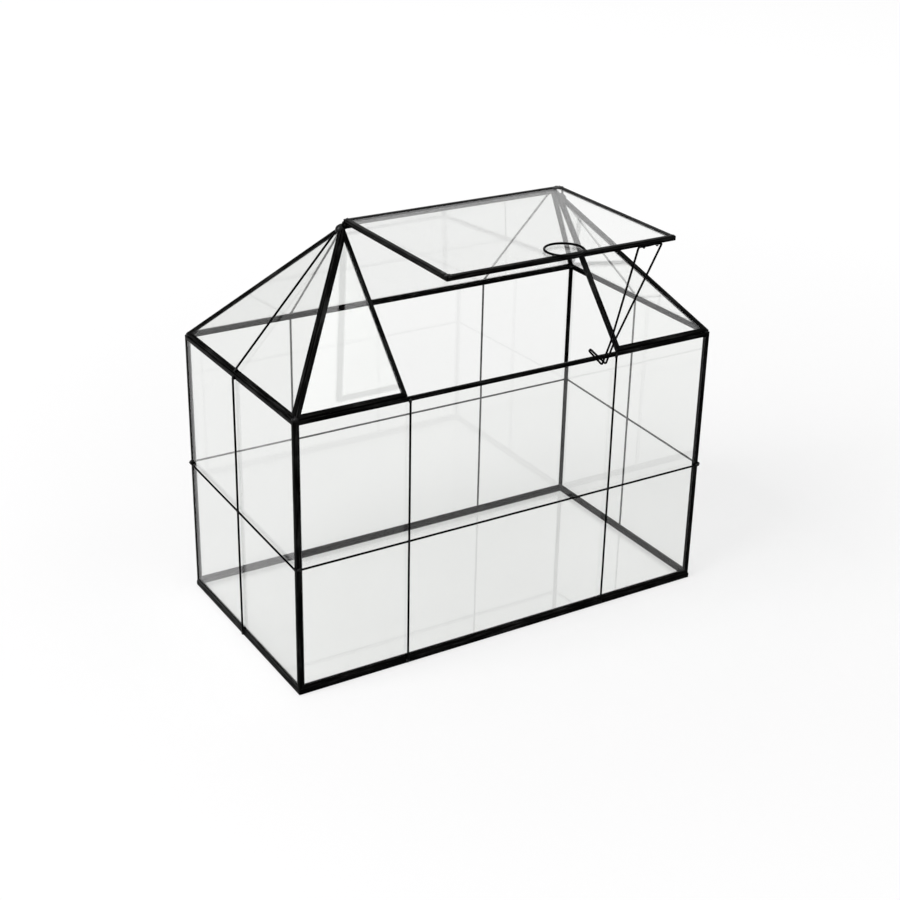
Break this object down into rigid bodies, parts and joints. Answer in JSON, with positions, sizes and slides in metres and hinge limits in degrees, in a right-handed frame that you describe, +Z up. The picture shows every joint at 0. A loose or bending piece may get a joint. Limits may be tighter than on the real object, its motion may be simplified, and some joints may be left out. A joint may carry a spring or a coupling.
{
  "type": "greenhouse-shaped glass terrarium",
  "caption": "Tabletop glass terrarium shaped like a greenhouse: panes in black metal channel, a hip roof, and a roof lid propped open by a wire loop.",
  "frame": {"origin": "middle of the base's underside, on the table", "axes": "+X along the ridge, -Y out of the front with the lid, +Z up"},
  "size_m": [0.2528, 0.1702, 0.225],
  "materials": {
    "channel": "satin black over folded metal, with soft streaks along each length",
    "glass": "clear sheet glass with a faint grey-green tint",
    "wire": "smooth black wire",
    "solder": "lumpy solder, blackened"
  },
  "bodies": {
    "house": {"base_channel": "channel", "front_channel": "channel", "back_channel": "channel", "left_end_channel": "channel", "right_end_channel": "channel", "back_roof_channel": "channel", "left_hip_channel": "channel", "right_hip_channel": "channel", "front_left_roof_channel": "channel", "front_right_roof_channel": "channel", "base_glass": "glass", "front_glass": "glass", "back_glass": "glass", "left_end_glass": "glass", "right_end_glass": "glass", "back_roof_glass": "glass", "left_hip_glass": "glass", "right_hip_glass": "glass", "front_left_roof_glass": "glass", "front_right_roof_glass": "glass", "front_wires": "wire", "back_wires": "wire", "left_end_wires": "wire", "right_end_wires": "wire", "left_hip_wires": "wire", "right_hip_wires": "wire", "back_roof_wires": "wire", "hinge_rod": "wire", "left_cap": "solder", "right_cap": "solder"},
    "lid": {"lid_channel": "channel", "lid_glass": "glass", "lid_ring": "wire", "prop_eyes": "solder"},
    "prop": {"lid_prop": "wire"}
  },
  "joints": [
    {"name": "lid_hinge", "type": "hinge", "parent": "house", "child": "lid", "pos_m": [0, -0.0015, 0.2228], "axis": [-1, 0, 0], "range_deg": [-47.1, 37]},
    {"name": "prop_swing", "type": "hinge", "parent": "lid", "child": "prop", "pos_m": [0.0525, -0.09863, 0.221], "axis": [-1, 0, 0], "range_deg": [-61.3, 78.1]}
  ],
  "couplings": [
    {"joint": "prop_swing", "follows": "lid_hinge", "ratio": -1.656}
  ]
}
